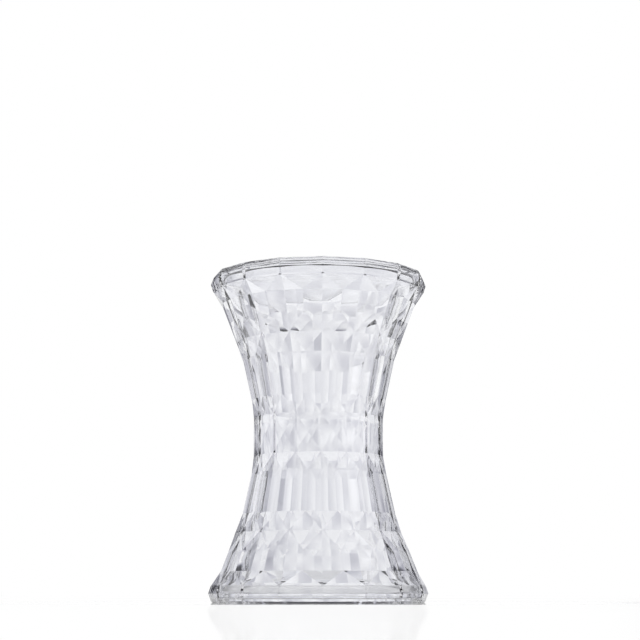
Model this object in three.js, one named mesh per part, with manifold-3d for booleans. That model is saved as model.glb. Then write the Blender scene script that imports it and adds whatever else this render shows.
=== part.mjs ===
// A clear polycarbonate stool: an hourglass cut all over with flat facets, like crystal.
// The shell is open at both ends. A seat plate closes its top and a foot ring rims its base,
// and each has a round register that locates it in the shell's mouth and is bonded there.
// Millimetres, +Z up. The origin is on the floor, at the centre of the foot ring.

import * as THREE from 'three';
import { mergeVertices } from 'three/addons/utils/BufferGeometryUtils.js';
import Module from 'manifold-3d';

const wasm = await Module();
wasm.setup();

// Overall size
const stoolHeight = 450;
const stoolRadius = 150;
const sides = 16;

// Rings of facet corners above the waist, each by its rise as a share of half the height, and
// its radius out to the corners as a share of the widest. The lower half mirrors them.
const waistRadiusShare = 0.591;
const waistFacetRiseShare = 0.117;
const waistFacetRadiusShare = 0.594;
const longPanelFootRiseShare = 0.224;
const longPanelFootRadiusShare = 0.623;
const longPanelHeadRiseShare = 0.469;
const longPanelHeadRadiusShare = 0.704;
const collarRiseShare = 0.582;
const collarRadiusShare = 0.758;
const shortPanelFootRiseShare = 0.695;
const shortPanelFootRadiusShare = 0.831;
const shortPanelHeadRiseShare = 0.816;
const shortPanelHeadRadiusShare = 0.902;
const girdleFootRiseShare = 0.905;
const girdleFootRadiusShare = 0.98;
const girdleRiseShare = 0.947;
const endRadiusShare = 0.975;

// The shell's inner wall, which has as many sides as the outside
const wallThickness = 6;
const wallSteps = 28;

// The two end pieces
const seatThickness = 5;
const footThickness = 6;
const footBoreRadiusShare = 0.9;
const easedEdge = 2;
const registerDepth = 5;
const registerLeadIn = 1;
const jointGap = 0.3;
const roundSteps = 64;

// Looks
const clearTint = 0xeef0f4;
const clearOpacity = 0.35;
const clearRoughness = 0.04;

const endRise = stoolHeight / 2;
const fullTurn = 2 * Math.PI;
const halfStep = 0.5;
const flatShare = Math.cos(Math.PI / sides);

// A straight ring has a corner at the front, and a turned ring has the middle of a flat there.
function straightRing(riseShare, radiusShare) {
  return { rise: riseShare * endRise, radius: radiusShare * stoolRadius, offset: 0 };
}

function turnedRing(riseShare, radiusShare) {
  return { ...straightRing(riseShare, radiusShare), offset: halfStep };
}

function mirrored(ring) {
  return { ...ring, rise: -ring.rise };
}

const waist = turnedRing(0, waistRadiusShare);
const girdleFoot = straightRing(girdleFootRiseShare, girdleFootRadiusShare);
const girdle = straightRing(girdleRiseShare, 1);
const end = { ...girdle, rise: endRise - easedEdge, radius: endRadiusShare * stoolRadius };
const rim = { ...end, rise: endRise, radius: end.radius - easedEdge };
const upperRings = [
  straightRing(waistFacetRiseShare, waistFacetRadiusShare),
  turnedRing(longPanelFootRiseShare, longPanelFootRadiusShare),
  turnedRing(longPanelHeadRiseShare, longPanelHeadRadiusShare),
  straightRing(collarRiseShare, collarRadiusShare),
  turnedRing(shortPanelFootRiseShare, shortPanelFootRadiusShare),
  turnedRing(shortPanelHeadRiseShare, shortPanelHeadRadiusShare),
  girdleFoot,
  girdle,
];

// The ring where the shell meets an end piece, on the bevel between the girdle and the end.
function bevelRing(rise) {
  const climb = (rise - girdle.rise) / (end.rise - girdle.rise);
  return { ...girdle, rise, radius: THREE.MathUtils.lerp(girdle.radius, end.radius, climb) };
}

// Corner number step of a ring, counted from the front towards +X.
function corner(ring, step) {
  const turn = ((step + ring.offset) / sides) * fullTurn;
  return new THREE.Vector3(ring.radius * Math.sin(turn), -ring.radius * Math.cos(turn), ring.rise);
}

// Facets between a ring and the one above it: flat panels where their corners line up,
// and a zigzag of triangles where one is turned.
function band(lower, upper) {
  const facets = [];
  for (let step = 0; step < sides; step += 1) {
    const lowerLeft = corner(lower, step);
    const lowerRight = corner(lower, step + 1);
    const upperLeft = corner(upper, step);
    const upperRight = corner(upper, step + 1);
    if (upper.offset > lower.offset) {
      facets.push([lowerLeft, lowerRight, upperLeft], [lowerRight, upperRight, upperLeft]);
    } else {
      facets.push([lowerLeft, lowerRight, upperRight], [lowerLeft, upperRight, upperLeft]);
    }
  }
  return facets;
}

// Four facets round each raised point of the waist, meeting on upright edges between the points.
function waistBand(lower, middle, upper) {
  const facets = [];
  for (let step = 0; step < sides; step += 1) {
    const point = corner(middle, step);
    const outline = [
      corner(lower, step),
      corner(lower, step + 1),
      corner(upper, step + 1),
      corner(upper, step),
    ];
    outline.forEach((from, side) => {
      facets.push([from, outline[(side + 1) % outline.length], point]);
    });
  }
  return facets;
}

// A flat face across a ring, looking up or down.
function lid(ring, looksUp) {
  const centre = new THREE.Vector3(0, 0, ring.rise);
  const facets = [];
  for (let step = 0; step < sides; step += 1) {
    const edge = [corner(ring, step), corner(ring, step + 1)];
    facets.push([centre, ...(looksUp ? edge : edge.reverse())]);
  }
  return facets;
}

function geometryOf(facets) {
  return new THREE.BufferGeometry().setFromPoints(facets.flat());
}

// A closed geometry as a solid, with only its corner positions kept.
function solidOf(geometry) {
  geometry.deleteAttribute('normal');
  geometry.deleteAttribute('uv');
  const merged = mergeVertices(geometry);
  return new wasm.Manifold(
    new wasm.Mesh({
      numProp: 3,
      vertProperties: merged.attributes.position.array,
      triVerts: new Uint32Array(merged.index.array),
    }),
  );
}

// A solid about the upright axis, from a profile of [radius, height] pairs. It is round, or has
// the given number of sides, with a corner at the front.
function turned(profile, steps = roundSteps) {
  const points = profile.map(([radius, height]) => new THREE.Vector2(radius, height));
  return solidOf(new THREE.LatheGeometry(points, steps).rotateX(Math.PI / 2));
}

// How far in the middle of the shell's inner flats lies behind a ring: one wall thickness
// inside the middle of the ring's own flats.
function innerReach(ring) {
  return ring.radius * flatShare - wallThickness;
}

const mouthReach = innerReach(girdleFoot);

// Every facet of the shell, from its lower seam up to its upper seam.
function facetedHourglass(lowerSeam, upperSeam) {
  const above = [...upperRings, upperSeam];
  const below = [lowerSeam, ...upperRings.map(mirrored).reverse()];
  const facets = [
    ...lid(lowerSeam, false),
    ...waistBand(mirrored(upperRings[0]), waist, upperRings[0]),
    ...lid(upperSeam, true),
  ];
  for (const rings of [below, above]) {
    rings.slice(1).forEach((ring, index) => facets.push(...band(rings[index], ring)));
  }
  return solidOf(geometryOf(facets));
}

// The hollow of the shell: sixteen panels that curve smoothly from end to end behind the facets,
// with their corners in line with the girdle's, and a straight mouth at each end.
function hollow() {
  const curved = upperRings.filter((ring) => ring.rise <= girdleFoot.rise);
  const guides = [...curved.map(mirrored).reverse(), waist, ...curved];
  const curve = new THREE.SplineCurve(
    guides.map((ring) => new THREE.Vector2(innerReach(ring), ring.rise)),
  );
  const wall = curve.getPoints(wallSteps).map((point) => [point.x, point.y]);
  const outline = [
    [0, -endRise],
    [mouthReach, -endRise],
    ...wall,
    [mouthReach, endRise],
    [0, endRise],
  ];
  return turned(outline.map(([reach, height]) => [reach / flatShare, height]), sides);
}

// The hourglass shell, with its middle at its own origin.
function shellSolid() {
  const lowerSeam = mirrored(bevelRing(endRise - footThickness - jointGap));
  const upperSeam = bevelRing(endRise - seatThickness - jointGap);
  return facetedHourglass(lowerSeam, upperSeam).subtract(hollow());
}

// The round register that stands down from an end plate into the shell's mouth, and fits
// between the middles of its flats.
function registerSolid(plateRise) {
  const radius = mouthReach - jointGap;
  const tip = plateRise - registerDepth;
  const root = (plateRise + endRise) / 2;
  return turned([
    [0, tip],
    [radius - registerLeadIn, tip],
    [radius, tip + registerLeadIn],
    [radius, root],
    [0, root],
  ]);
}

// An end plate as it sits on the top of the shell, with the shell's middle at its origin.
function endPlateSolid(thickness) {
  const plateRise = endRise - thickness;
  const underside = bevelRing(plateRise);
  const facets = [
    ...lid(underside, false),
    ...band(underside, end),
    ...band(end, rim),
    ...lid(rim, true),
  ];
  return solidOf(geometryOf(facets)).add(registerSolid(plateRise));
}

// The foot ring is an end plate with a round bore, so the hollow stays open to the floor.
function footSolid() {
  const boreRadius = footBoreRadiusShare * stoolRadius;
  const bore = turned([
    [0, 0],
    [boreRadius, 0],
    [boreRadius, stoolHeight],
    [0, stoolHeight],
  ]);
  return endPlateSolid(footThickness).subtract(bore);
}

function clearPolycarbonate() {
  return new THREE.MeshStandardMaterial({
    color: clearTint,
    roughness: clearRoughness,
    metalness: 0,
    transparent: true,
    opacity: clearOpacity,
    flatShading: true,
  });
}

function meshOf(name, solid) {
  const { vertProperties, triVerts } = solid.getMesh();
  const geometry = new THREE.BufferGeometry();
  geometry.setAttribute('position', new THREE.BufferAttribute(vertProperties, 3));
  geometry.setIndex(new THREE.BufferAttribute(triVerts, 1));
  geometry.computeVertexNormals();
  const mesh = new THREE.Mesh(geometry, clearPolycarbonate());
  mesh.name = name;
  mesh.position.z = endRise;
  return mesh;
}

function seat() {
  return meshOf('seat', endPlateSolid(seatThickness));
}

function bodyShell() {
  return meshOf('body_shell', shellSolid());
}

function footRing() {
  const mesh = meshOf('foot_ring', footSolid());
  mesh.rotation.x = Math.PI;
  return mesh;
}

const stool = new THREE.Group();
stool.add(seat(), bodyShell(), footRing());

export default stool;
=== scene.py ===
"""A clear faceted stool: its finished pieces, their finish and the studio round them."""

import math
from typing import NamedTuple

import bmesh
import bpy
from mathutils import Matrix, Vector


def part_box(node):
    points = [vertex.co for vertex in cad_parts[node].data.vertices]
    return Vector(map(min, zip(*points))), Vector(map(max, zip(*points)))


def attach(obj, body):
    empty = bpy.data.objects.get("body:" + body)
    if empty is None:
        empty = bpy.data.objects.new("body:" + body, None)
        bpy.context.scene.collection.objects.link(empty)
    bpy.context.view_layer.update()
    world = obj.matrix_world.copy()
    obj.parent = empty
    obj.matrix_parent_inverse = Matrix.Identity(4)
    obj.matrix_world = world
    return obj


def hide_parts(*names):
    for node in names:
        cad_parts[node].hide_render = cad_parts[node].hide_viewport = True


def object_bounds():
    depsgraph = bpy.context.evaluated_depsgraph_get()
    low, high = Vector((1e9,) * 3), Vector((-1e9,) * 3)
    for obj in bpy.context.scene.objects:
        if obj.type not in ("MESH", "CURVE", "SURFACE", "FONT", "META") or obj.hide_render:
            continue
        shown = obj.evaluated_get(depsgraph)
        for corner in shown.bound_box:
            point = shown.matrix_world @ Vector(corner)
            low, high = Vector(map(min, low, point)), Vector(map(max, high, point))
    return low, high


bl_info = {
    "name": "Clear faceted stool",
    "version": (1, 0, 0),
    "blender": (4, 5, 0),
    "location": "3D View > Sidebar > Stool",
    "description": "Makes a clear hourglass stool with crystal facets, and a pale studio for it",
    "category": "Add Mesh",
}

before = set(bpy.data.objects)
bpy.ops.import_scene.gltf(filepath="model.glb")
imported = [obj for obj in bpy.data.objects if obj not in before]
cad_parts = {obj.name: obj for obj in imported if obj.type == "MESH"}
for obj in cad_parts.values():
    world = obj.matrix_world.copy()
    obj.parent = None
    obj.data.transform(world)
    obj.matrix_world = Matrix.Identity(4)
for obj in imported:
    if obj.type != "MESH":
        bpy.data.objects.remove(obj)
cad_low, cad_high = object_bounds()
seat_low, seat_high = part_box("seat")
shell_low, shell_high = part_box("body_shell")
foot_low, foot_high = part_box("foot_ring")

MID_HEIGHT = (cad_low.z + cad_high.z) / 2
HALF_HEIGHT = (cad_high.z - cad_low.z) / 2


# Sizes and colours

def ring_property(name, rise_share, radius_share):
    """A ring of facet corners above the waist, which the lower half mirrors."""
    return bpy.props.FloatVectorProperty(
        name=name,
        description="Rise as a share of half the height, then radius as a share of the widest",
        size=2,
        default=(rise_share, radius_share),
        min=0,
        max=1,
    )


def length_property(name, description, default):
    """A plain length."""
    return bpy.props.FloatProperty(
        name=name, description=description, default=default, min=0, unit="LENGTH"
    )


def share_property(name, description, default):
    """A share from 0 to 1."""
    return bpy.props.FloatProperty(
        name=name, description=description, default=default, min=0, max=1
    )


def colour_property(name, description, default):
    """A plain colour."""
    return bpy.props.FloatVectorProperty(
        name=name, description=description, subtype="COLOR", size=3, default=default, min=0, max=1
    )


class StoolSizes(bpy.types.PropertyGroup):
    """The stool's own sizes."""

    sides: bpy.props.IntProperty(
        name="Sides", description="Corners round every ring", default=16, min=3
    )
    waist_points: ring_property("Waist points", 0, 0.591)
    waist_facets: ring_property("Waist facets", 0.117, 0.594)
    long_panel_foot: ring_property("Long panels, waist end", 0.224, 0.623)
    long_panel_head: ring_property("Long panels, far end", 0.469, 0.704)
    collar: ring_property("Collar", 0.582, 0.758)
    short_panel_foot: ring_property("Short panels, waist end", 0.695, 0.831)
    short_panel_head: ring_property("Short panels, far end", 0.816, 0.902)
    girdle_foot: ring_property("Girdle, waist side", 0.905, 0.98)
    girdle: ring_property("Girdle, widest", 0.947, 1)
    end_share: share_property("End", "Radius of the end edge, of the widest", 0.975)
    eased_edge: length_property("Eased edge", "Slope between each end edge and its flat", 0.002)
    wall: length_property("Wall", "Thickness behind the middle of a flat", 0.006)
    bore_share: share_property("Foot bore", "Radius of the bore, of the widest radius", 0.9)
    register_lead: length_property("Register lead-in", "Slope on each register's tip", 0.001)
    joint_gap: length_property("Joint gap", "Clearance between bonded pieces", 0.0003)
    soft_edge: length_property("Soft edge", "Width of a moulded edge", 0.0003)
    round_steps: bpy.props.IntProperty(
        name="Round steps", description="Steps round the smooth walls", default=192, min=16
    )
    wall_steps: bpy.props.IntProperty(
        name="Wall steps", description="Steps up the inner wall", default=28, min=8
    )


class StoolFinish(bpy.types.PropertyGroup):
    """The look of the clear plastic."""

    tint: colour_property("Tint", "Colour of light through a face", (0.969, 0.973, 0.990))
    slant_tint: colour_property("Slant tint", "Colour of light at a slant", (0.80, 0.81, 0.84))
    refraction: bpy.props.FloatProperty(
        name="Refraction", description="Refractive index", default=1.585, min=1
    )
    polish: share_property("Polish", "Roughness of the polished skin", 0.004)
    smudge: share_property("Smudges", "Roughness that handling adds in patches", 0.012)
    ripple: length_property("Ripple", "Height of the moulding's slow waves", 0.0002)


class StoolStudio(bpy.types.PropertyGroup):
    """The floor, the light and the camera."""

    floor_colour: colour_property("Floor", "Colour of the floor", (1.0, 1.0, 1.0))
    floor_white: share_property("Floor white", "Share of its white that no shade dims", 0.6)
    floor_gloss: share_property("Floor gloss", "Share of light that the floor mirrors", 0.12)
    gloss_end: length_property("Floor gloss end", "Radius where that gloss starts to fade", 2.0)
    under_gloss: share_property("Gloss inside the foot", "The share there in low views", 0.7)
    near_gloss: share_property("Gloss round the foot", "The share there in level views", 0.95)
    near_start: length_property("Foot's reach", "Radius where the gloss round it starts", 0.142)
    near_end: length_property("Near gloss end", "Radius where that gloss starts to fade", 0.42)
    floor_blur: share_property("Floor blur", "Roughness of the floor's gloss", 0.03)
    floor_radius: length_property("Floor radius", "Reach of the floor", 8.0)
    surround: share_property("Surround", "Light all round the stool", 0.6)
    back_light: share_property("Back light", "Extra light from behind, a little right", 0.34)
    side_light: share_property("Side light", "Extra light from the left", 0.25)
    front_light: share_property("Front light", "Share of the light that is left in front", 0.3)
    shades: share_property("Shades", "Half the fall in light between soft patches", 0.15)
    ceiling: share_property("Ceiling", "Loss of light from overhead", 0.97)
    shade_tint: colour_property("Shade tint", "Colour of the darkest shade", (0.80, 0.80, 1.0))
    room: share_property("Room", "Light of the room that the pieces mirror", 0.1)
    overhead: share_property("Overhead", "Light above and behind that the seat mirrors", 0.7)
    boxes: share_property("Soft boxes", "Light that each mirrored soft box adds", 0.5)
    box_turn: bpy.props.FloatProperty(
        name="Soft box turn",
        description="Direction of the soft boxes round the stool",
        subtype="ANGLE",
        default=math.radians(-52),
    )
    light_paths: bpy.props.IntProperty(
        name="Light paths", description="Most surfaces on a ray's way", default=14, min=1
    )
    camera_distance: length_property("Camera distance", "Out from the stool's axis", 2.2068)
    camera_height: length_property("Camera height", "Up from the floor", 0.012)
    camera_turn: bpy.props.FloatProperty(
        name="Camera turn",
        description="Angle round the stool from its front",
        subtype="ANGLE",
        default=math.radians(-2.24),
    )
    camera_tilt: bpy.props.FloatProperty(
        name="Camera tilt",
        description="How far the camera looks up",
        subtype="ANGLE",
        default=math.radians(7.884),
    )
    lens: bpy.props.FloatProperty(
        name="Lens", description="Focal length in millimetres", default=90.35, min=1
    )
    lens_rise: share_property("Lens rise", "Upward shift, in widths of the image", 0.08)
    lens_side: bpy.props.FloatProperty(
        name="Lens side", description="Sideways shift, in widths of the image", default=0.0023
    )


# Shader nodes

# Numbers of a Mix node's colour sockets, whose names aren't theirs alone
MIX_FIRST = 6
MIX_SECOND = 7
MIX_RESULT = 2


class Shade:
    """A node's value socket. Arithmetic on it adds Math nodes."""

    def __init__(self, nodes, socket):
        self.nodes = nodes
        self.socket = socket

    def __add__(self, other):
        return self.nodes.maths("ADD", self, other)

    __radd__ = __add__

    def __sub__(self, other):
        return self.nodes.maths("SUBTRACT", self, other)

    def __rsub__(self, other):
        return self.nodes.maths("SUBTRACT", other, self)

    def __mul__(self, other):
        return self.nodes.maths("MULTIPLY", self, other)

    __rmul__ = __mul__

    def __abs__(self):
        return self.nodes.maths("ABSOLUTE", self)

    def ramp(self, start, end):
        """0 up to start and 1 from end on, eased between."""
        settings = {"interpolation_type": "SMOOTHSTEP"}
        inputs = {"Value": self, "From Min": start, "From Max": end}
        return self.nodes.add("ShaderNodeMapRange", settings, inputs).out("Result")

    def fade(self, start, end):
        """1 up to start and 0 from end on, eased between."""
        return 1 - self.ramp(start, end)

    def wave(self, pace, start):
        """A wave from -1 to 1, by its pace and start in radians."""
        return self.nodes.maths("COSINE", self * pace + start)


class Added:
    """A node that has been added."""

    def __init__(self, nodes, node):
        self.nodes = nodes
        self.node = node

    def out(self, name):
        return Shade(self.nodes, self.node.outputs[name])


class Nodes:
    """A node tree that is being written, from an empty one."""

    def __init__(self, owner):
        owner.use_nodes = True
        self.tree = owner.node_tree
        self.tree.nodes.clear()

    def add(self, kind, settings=None, inputs=None):
        """Adds a node, sets its settings, then sets or links its sockets."""
        node = self.tree.nodes.new(kind)
        for name, value in (settings or {}).items():
            setattr(node, name, value)
        for name, value in (inputs or {}).items():
            if isinstance(value, Shade):
                self.tree.links.new(value.socket, node.inputs[name])
            else:
                node.inputs[name].default_value = value
        return Added(self, node)

    def maths(self, operation, *values):
        """A Math node's result."""
        inputs = dict(enumerate(values))
        return self.add("ShaderNodeMath", {"operation": operation}, inputs).out("Value")

    def mix(self, factor, first, second):
        """A mix of two colours."""
        inputs = {"Factor": factor, MIX_FIRST: first, MIX_SECOND: second}
        return self.add("ShaderNodeMix", {"data_type": "RGBA"}, inputs).out(MIX_RESULT)

    def blend(self, factor, first, second):
        """A mix of two shaders."""
        inputs = dict(enumerate((factor, first, second)))
        return self.add("ShaderNodeMixShader", None, inputs).out("Shader")

    def facing(self):
        """How the surface is seen: 0 straight on, and 1 along it."""
        return self.add("ShaderNodeLayerWeight", None, {"Blend": 0.5}).out("Facing")


def opaque(colour):
    """A colour with its alpha."""
    return (*colour, 1)


# Mesh making

# Bends above these are creases
FACET_CREASE = math.radians(1)
SPUN_CREASE = math.radians(12)

SPUN_TAG = "spun"


class Ring(NamedTuple):
    """A ring of facet corners. A turned one has the middle of a flat at the front."""

    height: float
    radius: float
    turned: bool


def new_bmesh():
    """A bmesh, and the tag that marks the faces of its spun walls."""
    bm = bmesh.new()
    return bm, bm.faces.layers.int.new(SPUN_TAG)


def ring_at(shares, turned=False, above=True):
    """The ring with these shares of rise and radius, above the waist or mirrored below it."""
    rise_share, radius_share = shares
    rise = rise_share * HALF_HEIGHT
    height = MID_HEIGHT + (rise if above else -rise)
    return Ring(height, radius_share * cad_high.x, turned)


def bevel_ring(sizes, height):
    """The ring at a height on the bevel between the girdle and an end edge."""
    girdle_rise_share, girdle_radius_share = sizes.girdle
    girdle_rise = girdle_rise_share * HALF_HEIGHT
    end_rise = HALF_HEIGHT - sizes.eased_edge
    climb = (abs(height - MID_HEIGHT) - girdle_rise) / (end_rise - girdle_rise)
    radius_share = girdle_radius_share + climb * (sizes.end_share - girdle_radius_share)
    return Ring(height, radius_share * cad_high.x, False)


def facet_loop(bm, sizes, ring):
    """A closed loop of straight edges through the corners of a ring."""
    half_step = math.pi / sizes.sides
    turn = Matrix.Rotation(half_step if ring.turned else 0, 4, "Z")
    place = Matrix.Translation((0, 0, ring.height)) @ turn
    circle = {"segments": sizes.sides, "radius": ring.radius, "matrix": place}
    return bmesh.ops.create_circle(bm, **circle)["verts"]


def loop_edges(corners):
    """The edges that join the corners of a loop, in the same order on each run."""
    inside = set(corners)
    edges = [e for v in corners for e in v.link_edges if e.other_vert(v) in inside]
    return list(dict.fromkeys(edges))


def facet_band(bm, lower, upper, zigzag):
    """Facets between two loops: flat panels, or a zigzag of triangles where one is turned."""
    edges = loop_edges(lower) + loop_edges(upper)
    panels = bmesh.ops.bridge_loops(bm, edges=edges)["faces"]
    if zigzag:
        bmesh.ops.triangulate(bm, faces=panels, quad_method="SHORT_EDGE")
    return panels


def raise_points(bm, sizes, panels):
    """Gives each waist panel a raised point in its middle, with four facets round it."""
    points = bmesh.ops.poke(bm, faces=panels)["verts"]
    radius = ring_at(sizes.waist_points).radius
    for point in points:
        outwards = Vector((point.co.x, point.co.y, 0)).normalized() * radius
        point.co = (outwards.x, outwards.y, point.co.z)


def flat_share(sizes):
    """How far out the middle of a ring's flats lies, as a share of its corners' radius."""
    return math.cos(math.pi / sizes.sides)


def inner_reach(sizes, ring):
    """How far out the middle of an inner panel lies: one wall behind a ring's flats."""
    return ring.radius * flat_share(sizes) - sizes.wall


def eased_curve(points, steps):
    """A smooth curve through points, as a chain of cubics."""
    padded = [Vector(point) for point in (points[0], *points, points[-1])]
    spans = len(points) - 1
    curve = []
    for index in range(steps + 1):
        along = index * spans / steps
        span = min(int(along), spans - 1)
        t = along - span
        a, b, c, d = padded[span : span + 4]
        bend = 2 * a - 5 * b + 4 * c - d
        twist = 3 * (b - c) + d - a
        curve.append(b + (t * (c - a) + t**2 * bend + t**3 * twist) / 2)
    return curve


def spun_wall(bm, profile, spun_tag, steps):
    """A wall spun in flat steps from a profile of corner radius and height.

    Returns the loops at its two ends.
    """
    corners = [bm.verts.new((radius, 0, height)) for radius, height in profile]
    edges = [bm.edges.new(pair) for pair in zip(corners, corners[1:])]
    known = set(bm.faces)
    bmesh.ops.spin(
        bm,
        geom=corners + edges,
        cent=(0, 0, 0),
        axis=(0, 0, 1),
        angle=2 * math.pi,
        steps=steps,
        use_merge=True,
    )
    wall = [face for face in bm.faces if face not in known]
    rims = dict.fromkeys(v for face in wall for e in face.edges if e.is_boundary for v in e.verts)
    for face in wall:
        face[spun_tag] = 1
    return [rim_at(rims, end) for end in (profile[0], profile[-1])]


def rim_at(rims, end):
    """The corners of the rim that a profile's end sweeps out."""
    near = 1e-5
    return [v for v in rims if (Vector((v.co.xy.length, v.co.z)) - Vector(end)).length < near]


def fill_between(bm, outer, inner):
    """A flat face between two loops."""
    bmesh.ops.triangle_fill(bm, edges=loop_edges(outer) + loop_edges(inner), use_beauty=True)


def fill_loop(bm, corners):
    """A flat face inside a loop."""
    bmesh.ops.contextual_create(bm, geom=loop_edges(corners))


def is_crease(edge, spun_tag):
    """True for an edge between facets, or at a corner of a spun wall."""
    spun = all(face[spun_tag] for face in edge.link_faces)
    return edge.calc_face_angle(0) > (SPUN_CREASE if spun else FACET_CREASE)


def soften_creases(bm, sizes, spun_tag):
    """Gives every crease the small round of a moulding."""
    bmesh.ops.bevel(
        bm,
        geom=[edge for edge in bm.edges if is_crease(edge, spun_tag)],
        offset=sizes.soft_edge,
        offset_type="OFFSET",
        segments=2,
        profile=0.5,
        affect="EDGES",
        clamp_overlap=True,
        material=-1,
    )


def finish_piece(bm, spun_tag, name, node):
    """Makes the bmesh an object that stands for a node of the frame."""
    bmesh.ops.recalc_face_normals(bm, faces=bm.faces)
    soften_creases(bm, bpy.context.scene.stool_sizes, spun_tag)
    for face in bm.faces:
        face.smooth = bool(face[spun_tag])
    for edge in bm.edges:
        edge.smooth = not is_crease(edge, spun_tag)
    mesh = bpy.data.meshes.new(name)
    bm.to_mesh(mesh)
    bm.free()
    mesh.attributes.remove(mesh.attributes[SPUN_TAG])
    mesh.materials.append(clear_polycarbonate(bpy.context.scene.stool_finish))
    piece = bpy.data.objects.new(name, mesh)
    bpy.context.scene.collection.objects.link(piece)
    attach(piece, "root")
    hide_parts(node)


# The pieces

def upper_rings(sizes):
    """The shares of each ring above the waist, and whether it is turned."""
    return [
        (sizes.waist_facets, False),
        (sizes.long_panel_foot, True),
        (sizes.long_panel_head, True),
        (sizes.collar, False),
        (sizes.short_panel_foot, True),
        (sizes.short_panel_head, True),
        (sizes.girdle_foot, False),
        (sizes.girdle, False),
    ]


def mirrored_rings(upper, *middle):
    """Rings above the waist and the same rings below it, from the lowest up."""
    below = [ring_at(*ring, above=False) for ring in reversed(upper)]
    return [*below, *middle, *[ring_at(*ring) for ring in upper]]


def shell_rings(sizes):
    """Every ring of the shell's outside, from its lower seam to its upper one."""
    rings = mirrored_rings(upper_rings(sizes))
    return [bevel_ring(sizes, shell_low.z), *rings, bevel_ring(sizes, shell_high.z)]


def shell_outside(bm, sizes):
    """The faceted outside of the shell. Returns the loops at its lower and upper seams."""
    rings = shell_rings(sizes)
    loops = [facet_loop(bm, sizes, ring) for ring in rings]
    for index, (lower, upper) in enumerate(zip(rings, rings[1:])):
        zigzag = lower.turned != upper.turned
        panels = facet_band(bm, *loops[index : index + 2], zigzag)
        if lower.height < MID_HEIGHT < upper.height:
            raise_points(bm, sizes, panels)
    return loops[0], loops[-1]


def inner_profile(sizes):
    """The corners of the shell's inner wall: an eased curve, and a straight mouth at each end."""
    curved = upper_rings(sizes)[:-1]
    rings = mirrored_rings(curved, ring_at(sizes.waist_points))
    guides = [(inner_reach(sizes, ring) / flat_share(sizes), ring.height) for ring in rings]
    mouth = guides[-1][0]
    curve = eased_curve(guides, sizes.wall_steps)
    return [(mouth, shell_low.z), *curve, (mouth, shell_high.z)]


def register_profile(sizes, heights, bore):
    """The corners of a round register, and of the bore through its plate if there is one."""
    tip, face, flat = heights
    radius = inner_reach(sizes, ring_at(sizes.girdle_foot)) - sizes.joint_gap
    lead = sizes.register_lead
    lead_end = tip + math.copysign(lead, flat - tip)
    profile = [(radius, face), (radius, lead_end), (radius - lead, tip)]
    if bore:
        profile += [(bore, tip), (bore, flat)]
    return profile


def end_plate(bm, sizes, spun_tag, heights, bore=None):
    """A bevelled plate with a round register, by the heights of its tip, its face and its flat."""
    tip, face, flat = heights
    edge = bevel_ring(sizes, flat - math.copysign(sizes.eased_edge, flat - tip))
    rim = Ring(flat, edge.radius - sizes.eased_edge, False)
    loops = [facet_loop(bm, sizes, ring) for ring in (bevel_ring(sizes, face), edge, rim)]
    for pair in zip(loops, loops[1:]):
        facet_band(bm, *pair, zigzag=False)
    profile = register_profile(sizes, heights, bore)
    root, last = spun_wall(bm, profile, spun_tag, sizes.round_steps)
    fill_between(bm, loops[0], root)
    if bore:
        fill_between(bm, loops[-1], last)
    else:
        fill_loop(bm, last)
        fill_loop(bm, loops[-1])


# Finish

# How slanting a face is where the darker tint starts, and where it is full
PLASTIC_SLANT = (0.35, 1.0)

# The moulding's slow waves, the patches that handling leaves, and how much of these shows
SLOW_WAVES = {"Scale": 22, "Detail": 1, "Roughness": 0.4}
HAND_SMUDGES = {"Scale": 35, "Detail": 5}
SMUDGED = (0.5, 0.8)


def clear_polycarbonate(finish):
    """Polished clear plastic: bright through its face, darker through its slanting edges."""
    name = "clear_polycarbonate"
    if name in bpy.data.materials:
        return bpy.data.materials[name]
    material = bpy.data.materials.new(name)
    nodes = Nodes(material)
    place = nodes.add("ShaderNodeTexCoord").out("Object")
    slant = nodes.facing().ramp(*PLASTIC_SLANT)
    waves = nodes.add("ShaderNodeTexNoise", None, {"Vector": place, **SLOW_WAVES}).out("Fac")
    smudges = nodes.add("ShaderNodeTexNoise", None, {"Vector": place, **HAND_SMUDGES}).out("Fac")
    bump = {"Strength": 1, "Distance": finish.ripple, "Height": waves}
    surface = {
        "Base Color": nodes.mix(slant, opaque(finish.tint), opaque(finish.slant_tint)),
        "Roughness": finish.polish + finish.smudge * smudges.ramp(*SMUDGED),
        "IOR": finish.refraction,
        "Transmission Weight": 1,
        "Normal": nodes.add("ShaderNodeBump", None, bump).out("Normal"),
    }
    shader = nodes.add("ShaderNodeBsdfPrincipled", None, surface)
    nodes.add("ShaderNodeOutputMaterial", None, {"Surface": shader.out("BSDF")})
    return material


# The floor

# Widths over which its gloss fades: under the foot, round it and far out
FOOT_FADE = 0.012
NEAR_FADE = 0.08
FAR_FADE = 1.5

# Views of it, each from where it starts to where it is full: 0 straight down, and 1 along it
SLANTING_VIEW = (0.4, 0.7)
LOW_VIEW = (0.75, 0.92)
LEVEL_VIEW = (0.96, 0.99)


def floor_mirror(nodes, studio, level, camera):
    """The floor's gloss: faint, but strong in low views inside the foot, and in level ones near it."""
    place = nodes.add("ShaderNodeTexCoord").out("Object")
    length = nodes.add("ShaderNodeVectorMath", {"operation": "LENGTH"}, {"Vector": place})
    radius = length.out("Value")
    outside = radius.ramp(studio.near_start - FOOT_FADE, studio.near_start)
    near = outside * radius.fade(studio.near_end, studio.near_end + NEAR_FADE) * camera
    under = (1 - outside) * level.ramp(*LOW_VIEW)
    mirror = studio.floor_gloss * radius.fade(studio.gloss_end, studio.gloss_end + FAR_FADE)
    mirror = mirror + (studio.under_gloss - studio.floor_gloss) * under
    return mirror + (studio.near_gloss - studio.floor_gloss) * near * level.ramp(*LEVEL_VIEW)


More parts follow.
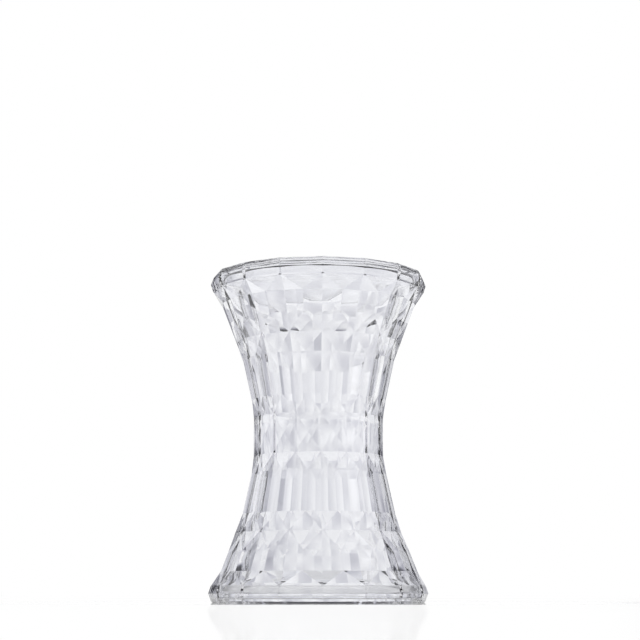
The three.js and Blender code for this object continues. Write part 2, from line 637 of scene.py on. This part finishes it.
def pale_floor(studio):
    """A white floor. It shows some white of its own, so its shade is soft."""
    material = bpy.data.materials.new("pale_floor")
    nodes = Nodes(material)
    path = nodes.add("ShaderNodeLightPath")
    camera = path.out("Is Camera Ray")
    level = nodes.facing()
    mirror = floor_mirror(nodes, studio, level, camera)
    own = camera + path.out("Is Transmission Ray") * level.fade(*SLANTING_VIEW)
    colour = {"Color": opaque(studio.floor_colour)}
    matt = nodes.add("ShaderNodeBsdfDiffuse", None, colour).out("BSDF")
    white = nodes.add("ShaderNodeEmission", None, colour).out("Emission")
    glossy = {**colour, "Roughness": studio.floor_blur}
    gloss = nodes.add("ShaderNodeBsdfAnisotropic", None, glossy).out("BSDF")
    plain = nodes.blend(own * studio.floor_white, matt, white)
    shader = nodes.blend(mirror, plain, gloss)
    nodes.add("ShaderNodeOutputMaterial", None, {"Surface": shader})
    return material


# The light

# Pace and start, in radians, of the waves that make its soft patches
PATCHES_ROUND = (0.45, 0.8)
PATCHES_UP = (30, 0.5)

# Turns, in degrees to the right of straight behind, over which each light comes or goes
BACK_LIGHT_START = (-26, 5)
BACK_LIGHT_END = (16, 40)
SIDE_LIGHT_END = (-60, -30)
WHITE_SIDES = (12, 20)
OVERHEAD_SIDES = (60, 90)

# The same as cosines: of the turn, and of twice the turn away from a soft box
FRONT_END = (-0.7, 0.1)
BOX_SIDES = (0.45, 0.75)

# Rises, from -1 straight down to 1 straight up, over which each light comes or goes
CEILING_START = (0.41, 0.48)
OVERHEAD_START = (0.2, 0.4)
BOX_ENDS = (0.75, 0.9)
WHITE_ENDS = (0.08, 0.16)


def seen_light(studio, turn, rise):
    """What shows through the pieces: soft patches, brighter behind and on the left."""
    patches = turn.wave(*PATCHES_ROUND) * rise.wave(*PATCHES_UP)
    behind = turn.ramp(*BACK_LIGHT_START) * turn.fade(*BACK_LIGHT_END)
    left = turn.fade(*SIDE_LIGHT_END)
    away = turn.wave(math.radians(1), 0).ramp(*FRONT_END)
    light = studio.surround + studio.shades * patches
    light = light + studio.back_light * behind + studio.side_light * left
    light = light * (studio.front_light + (1 - studio.front_light) * away)
    return light * (1 - studio.ceiling * rise.ramp(*CEILING_START))


def mirrored_light(studio, turn, rise):
    """What the pieces and the floor mirror: two soft boxes, pale overhead and white behind."""
    height = abs(rise)
    boxes = (turn - math.degrees(studio.box_turn)).wave(math.radians(2), 0).ramp(*BOX_SIDES)
    light = studio.room + studio.boxes * boxes * height.fade(*BOX_ENDS)
    overhead = rise.ramp(*OVERHEAD_START) * abs(turn).fade(*OVERHEAD_SIDES)
    light = light + (studio.overhead - light) * overhead
    white = abs(turn).fade(*WHITE_SIDES) * height.fade(*WHITE_ENDS)
    return light * (1 - white) + white


def studio_world(studio):
    """White for the camera. Clear pieces show its soft shades, and mirror its boxes."""
    world = bpy.data.worlds.new("studio")
    nodes = Nodes(world)
    direction = nodes.add("ShaderNodeTexCoord").out("Generated")
    parts = nodes.add("ShaderNodeSeparateXYZ", None, {"Vector": direction})
    turn = nodes.maths("ARCTAN2", parts.out("X"), parts.out("Y")) * math.degrees(1)
    rise = parts.out("Z")
    path = nodes.add("ShaderNodeLightPath")
    straight = nodes.maths("LESS_THAN", path.out("Diffuse Depth"), 1)
    through = path.out("Is Transmission Ray") * straight
    glossy = path.out("Is Glossy Ray") * straight * (1 - through)
    strength = through * seen_light(studio, turn, rise)
    strength = strength + glossy * mirrored_light(studio, turn, rise)
    strength = strength + (1 - through - glossy)
    colour = nodes.mix(strength, opaque(studio.shade_tint), opaque((1, 1, 1)))
    light = {"Color": colour, "Strength": strength}
    background = nodes.add("ShaderNodeBackground", None, light)
    nodes.add("ShaderNodeOutputWorld", None, {"Surface": background.out("Background")})
    return world


# Operators

class StoolSeat(bpy.types.Operator):
    """Add the bevelled seat plate with its register"""

    bl_idname = "stool.seat"
    bl_label = "Seat"

    def execute(self, context):
        sizes = context.scene.stool_sizes
        bm, spun_tag = new_bmesh()
        heights = (seat_low.z, shell_high.z + sizes.joint_gap, seat_high.z)
        end_plate(bm, sizes, spun_tag, heights)
        finish_piece(bm, spun_tag, "seat_plate", "seat")
        return {"FINISHED"}


class StoolShell(bpy.types.Operator):
    """Add the hourglass shell, faceted outside and sixteen-sided inside"""

    bl_idname = "stool.shell"
    bl_label = "Shell"

    def execute(self, context):
        sizes = context.scene.stool_sizes
        bm, spun_tag = new_bmesh()
        outside = shell_outside(bm, sizes)
        inside = spun_wall(bm, inner_profile(sizes), spun_tag, sizes.sides)
        for outer, inner in zip(outside, inside):
            fill_between(bm, outer, inner)
        finish_piece(bm, spun_tag, "crystal_shell", "body_shell")
        return {"FINISHED"}


class StoolFoot(bpy.types.Operator):
    """Add the bevelled foot ring with its register and bore"""

    bl_idname = "stool.foot"
    bl_label = "Foot ring"

    def execute(self, context):
        sizes = context.scene.stool_sizes
        bm, spun_tag = new_bmesh()
        heights = (foot_high.z, shell_low.z - sizes.joint_gap, foot_low.z)
        end_plate(bm, sizes, spun_tag, heights, bore=sizes.bore_share * cad_high.x)
        finish_piece(bm, spun_tag, "standing_ring", "foot_ring")
        return {"FINISHED"}


class StoolStage(bpy.types.Operator):
    """Add the floor, the surround and the camera"""

    bl_idname = "stool.stage"
    bl_label = "Stage"

    def execute(self, context):
        scene = context.scene
        studio = scene.stool_studio
        add_floor(scene, studio)
        scene.world = studio_world(studio)
        allow_deep_paths(scene, studio.light_paths)
        scene.view_settings.view_transform = "Standard"
        scene.camera = add_camera(scene, studio)
        return {"FINISHED"}


def allow_deep_paths(scene, bounces):
    """Lets light pass through as many clear walls as a slanting view needs."""
    scene.cycles.max_bounces = bounces
    scene.cycles.transmission_bounces = bounces
    scene.cycles.glossy_bounces = bounces


def add_floor(scene, studio):
    """A round floor that the foot ring stands on."""
    bm = bmesh.new()
    bmesh.ops.create_circle(bm, cap_ends=True, segments=64, radius=studio.floor_radius)
    mesh = bpy.data.meshes.new("floor")
    bm.to_mesh(mesh)
    bm.free()
    mesh.materials.append(pale_floor(studio))
    floor = bpy.data.objects.new("floor", mesh)
    scene.collection.objects.link(floor)


def add_camera(scene, studio):
    """A camera low in front of the stool, looking up a little."""
    data = bpy.data.cameras.new("camera")
    data.sensor_width = 36
    data.lens = studio.lens
    data.shift_x = studio.lens_side
    data.shift_y = studio.lens_rise
    camera = bpy.data.objects.new("camera", data)
    turn = Matrix.Rotation(studio.camera_turn, 4, "Z")
    back = Matrix.Translation((0, -studio.camera_distance, studio.camera_height))
    tilt = Matrix.Rotation(math.pi / 2 + studio.camera_tilt, 4, "X")
    camera.matrix_world = turn @ back @ tilt
    scene.collection.objects.link(camera)
    return camera


class StoolPanel(bpy.types.Panel):
    """Lists the stool's pieces and settings"""

    bl_idname = "VIEW3D_PT_stool"
    bl_label = "Clear faceted stool"
    bl_space_type = "VIEW_3D"
    bl_region_type = "UI"
    bl_category = "Stool"

    def draw(self, context):
        for operator in OPERATORS:
            self.layout.operator(operator.bl_idname)
        for name in GROUPS:
            group = getattr(context.scene, name)
            box = self.layout.box()
            for setting in group.__annotations__:
                box.prop(group, setting)


OPERATORS = (StoolSeat, StoolShell, StoolFoot, StoolStage)
GROUPS = {"stool_sizes": StoolSizes, "stool_finish": StoolFinish, "stool_studio": StoolStudio}


def register():
    for group in GROUPS.values():
        bpy.utils.register_class(group)
    for name, group in GROUPS.items():
        setattr(bpy.types.Scene, name, bpy.props.PointerProperty(type=group))
    for operator in OPERATORS:
        bpy.utils.register_class(operator)
    bpy.utils.register_class(StoolPanel)


def unregister():
    bpy.utils.unregister_class(StoolPanel)
    for operator in reversed(OPERATORS):
        bpy.utils.unregister_class(operator)
    for name in GROUPS:
        delattr(bpy.types.Scene, name)
    for group in reversed(GROUPS.values()):
        bpy.utils.unregister_class(group)


def main():
    register()
    bpy.ops.stool.seat()
    bpy.ops.stool.shell()
    bpy.ops.stool.foot()
    bpy.ops.stool.stage()


if __name__ == "__main__":
    main()
